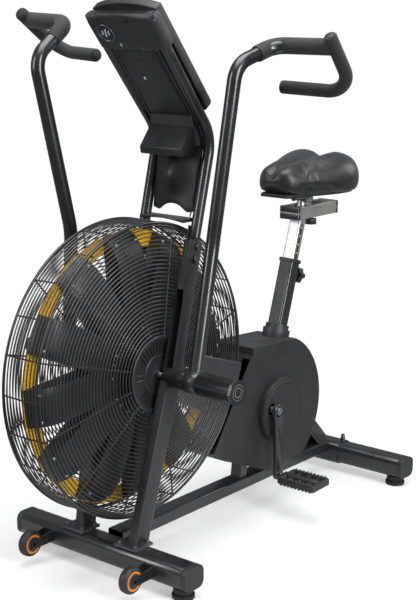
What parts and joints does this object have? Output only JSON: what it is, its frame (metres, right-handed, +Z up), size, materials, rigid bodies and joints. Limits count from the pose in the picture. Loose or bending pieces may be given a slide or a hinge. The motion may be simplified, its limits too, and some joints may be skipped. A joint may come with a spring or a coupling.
{
  "type": "fan air bike",
  "caption": "Upright fan-resistance exercise bike: wire-caged vaned fan, swinging arm levers with grips, cranks and pedals, sliding seat and console on a tubular base.",
  "frame": {"origin": "middle of the part's box, on the floor", "axes": "+Z up, +Y from the fan back to the seat, +X to the rider's left; -Y is the front"},
  "size_m": [0.7522, 1.206, 1.306],
  "materials": {
    "frame_black": "gloss powder coat",
    "frame_grey": "satin powder coat",
    "cap_plastic": "fine grain",
    "shroud_plastic": "satin moulded",
    "cover_plastic": "satin moulded",
    "cage_wire": "gloss powder coat",
    "hub_plastic": "satin moulded",
    "zinc": "zinc plated",
    "axle_steel": "ground",
    "fan_grey": "satin powder coat",
    "ring_yellow": "satin paint",
    "pulley_black": "glass filled nylon",
    "belt_rubber": "matt",
    "crank_black": "gloss enamel",
    "pedal_plastic": "moulded",
    "grip_foam": "closed cell foam",
    "post_alu": "brushed, anodised",
    "rail_alu": "brushed, anodised",
    "saddle_vinyl": "semi-gloss black vinyl over foam",
    "knob_plastic": "satin moulded",
    "console_plastic": "satin moulded",
    "console_front_plastic": "satin moulded",
    "shield_plastic": "semi gloss moulded",
    "lens_clear": "smoked",
    "cable_black": "matt",
    "button_grey": "silicone",
    "wheel_plastic": "moulded, orange rim",
    "foot_rubber": "matt",
    "bushing_nylon": "nylon"
  },
  "bodies": {
    "frame": {"main_rail": "frame_black", "front_stabilizer": "frame_black", "rear_stabilizer": "frame_black", "rear_socket": "frame_black", "stabilizer_end_caps": "cap_plastic", "left_leg": "frame_grey", "right_leg": "frame_grey", "frame_bolts": "zinc", "seat_struts": "frame_black", "seat_tube": "frame_black", "post_bushing": "bushing_nylon", "crank_shell": "frame_grey", "mast_tubes": "frame_black", "left_shroud": "shroud_plastic", "right_shroud": "shroud_plastic", "disc_covers": "cover_plastic", "post_collars": "cap_plastic", "link_covers": "cover_plastic", "cage_left_face": "cage_wire", "cage_right_face": "cage_wire", "cage_rim": "cage_wire", "hub_covers": "hub_plastic", "fan_axle": "axle_steel", "footrests": "frame_black", "wheel_brackets": "frame_black", "console_back": "console_plastic", "console_front": "console_front_plastic", "console_lens": "lens_clear", "console_shield": "shield_plastic", "sensor_cable": "cable_black", "drive_belt": "belt_rubber"},
    "fan": {"fan_hub": "fan_grey", "fan_vanes": "fan_grey", "fan_ring": "ring_yellow"},
    "cranks": {"crank_axle": "axle_steel", "crank_pulley": "pulley_black", "crank_arms": "crank_black"},
    "left_pedal": {"left_pedal": "pedal_plastic"},
    "right_pedal": {"right_pedal": "pedal_plastic"},
    "left_handle": {"left_handle": "frame_black", "left_grips": "grip_foam"},
    "right_handle": {"right_handle": "frame_black", "right_grips": "grip_foam"},
    "left_link": {"left_link_rod": "axle_steel"},
    "right_link": {"right_link_rod": "axle_steel"},
    "seat_post": {"seat_post": "post_alu", "seat_rail": "rail_alu"},
    "seat_carriage": {"seat_carriage": "zinc"},
    "saddle": {"saddle": "saddle_vinyl"},
    "height_knob": {"height_knob": "knob_plastic"},
    "slide_knob": {"slide_knob": "knob_plastic"},
    "left_wheel": {"left_wheel": "wheel_plastic"},
    "right_wheel": {"right_wheel": "wheel_plastic"},
    "front_left_foot": {"front_left_foot": "foot_rubber"},
    "front_right_foot": {"front_right_foot": "foot_rubber"},
    "rear_left_foot": {"rear_left_foot": "foot_rubber"},
    "rear_right_foot": {"rear_right_foot": "foot_rubber"},
    "left_button": {"left_button": "button_grey"},
    "middle_button": {"middle_button": "button_grey"},
    "right_button": {"right_button": "button_grey"}
  },
  "joints": [
    {"name": "fan_spin", "type": "hinge", "parent": "frame", "child": "fan", "pos_m": [0, -0.2565, 0.468], "axis": [1, 0, 0], "continuous": true},
    {"name": "crank_spin", "type": "hinge", "parent": "frame", "child": "cranks", "pos_m": [0, 0.1885, 0.275], "axis": [1, 0, 0], "continuous": true},
    {"name": "left_pedal_spin", "type": "hinge", "parent": "cranks", "child": "left_pedal", "pos_m": [0, 0.1945, 0.1031], "axis": [1, 0, 0], "continuous": true},
    {"name": "right_pedal_spin", "type": "hinge", "parent": "cranks", "child": "right_pedal", "pos_m": [0, 0.1825, 0.4469], "axis": [1, 0, 0], "continuous": true},
    {"name": "left_handle_swing", "type": "hinge", "parent": "frame", "child": "left_handle", "pos_m": [0, -0.2565, 0.468], "axis": [1, 0, 0], "range_deg": [-2, 20]},
    {"name": "right_handle_swing", "type": "hinge", "parent": "frame", "child": "right_handle", "pos_m": [0, -0.2565, 0.468], "axis": [1, 0, 0], "range_deg": [-20, 2]},
    {"name": "left_link_slide", "type": "slide", "parent": "frame", "child": "left_link", "axis": [0, 0.9463, -0.3234], "range_m": [-0.023, 0.023]},
    {"name": "right_link_slide", "type": "slide", "parent": "frame", "child": "right_link", "axis": [0, 0.9463, -0.3234], "range_m": [-0.023, 0.023]},
    {"name": "seat_height", "type": "slide", "parent": "frame", "child": "seat_post", "axis": [0, 0.3007, 0.9537], "range_m": [-0.075, 0.075]},
    {"name": "seat_slide", "type": "slide", "parent": "seat_post", "child": "seat_carriage", "axis": [0, 1, 0], "range_m": [-0.024, 0.06]},
    {"name": "saddle_tilt", "type": "hinge", "parent": "seat_carriage", "child": "saddle", "pos_m": [0, 0.4215, 0.791], "axis": [1, 0, 0], "range_deg": [-10, 10]},
    {"name": "height_knob_pull", "type": "slide", "parent": "frame", "child": "height_knob", "axis": [0, 0.9537, -0.3007], "range_m": [0, 0.011], "stiffness_N_per_m": 400},
    {"name": "slide_knob_turn", "type": "hinge", "parent": "seat_carriage", "child": "slide_knob", "pos_m": [0, 0.4665, 0.73], "axis": [0, 0, 1], "range_deg": [-180, 180]},
    {"name": "left_wheel_spin", "type": "hinge", "parent": "frame", "child": "left_wheel", "pos_m": [0.16, -0.4325, 0.049], "axis": [1, 0, 0], "continuous": true},
    {"name": "right_wheel_spin", "type": "hinge", "parent": "frame", "child": "right_wheel", "pos_m": [-0.16, -0.4325, 0.049], "axis": [1, 0, 0], "continuous": true},
    {"name": "front_left_foot_turn", "type": "hinge", "parent": "frame", "child": "front_left_foot", "pos_m": [0.236, -0.3425, 0.012], "axis": [0, 0, 1], "range_deg": [-180, 180]},
    {"name": "front_right_foot_turn", "type": "hinge", "parent": "frame", "child": "front_right_foot", "pos_m": [-0.236, -0.3425, 0.012], "axis": [0, 0, 1], "range_deg": [-180, 180]},
    {"name": "rear_left_foot_turn", "type": "hinge", "parent": "frame", "child": "rear_left_foot", "pos_m": [0.229, 0.5695, 0.012], "axis": [0, 0, 1], "range_deg": [-180, 180]},
    {"name": "rear_right_foot_turn", "type": "hinge", "parent": "frame", "child": "rear_right_foot", "pos_m": [-0.229, 0.5695, 0.012], "axis": [0, 0, 1], "range_deg": [-180, 180]},
    {"name": "left_button_press", "type": "slide", "parent": "frame", "child": "left_button", "axis": [0, -0.7837, -0.6211], "range_m": [0, 0.0015], "stiffness_N_per_m": 300},
    {"name": "middle_button_press", "type": "slide", "parent": "frame", "child": "middle_button", "axis": [0, -0.7837, -0.6211], "range_m": [0, 0.0015], "stiffness_N_per_m": 300},
    {"name": "right_button_press", "type": "slide", "parent": "frame", "child": "right_button", "axis": [0, -0.7837, -0.6211], "range_m": [0, 0.0015], "stiffness_N_per_m": 300}
  ],
  "couplings": [
    {"joint": "crank_spin", "follows": "fan_spin", "ratio": 0.26923},
    {"joint": "right_handle_swing", "follows": "left_handle_swing", "ratio": -1},
    {"joint": "left_link_slide", "follows": "left_handle_swing", "m_per_rad": 0.0625},
    {"joint": "right_link_slide", "follows": "left_handle_swing", "m_per_rad": -0.0625}
  ]
}
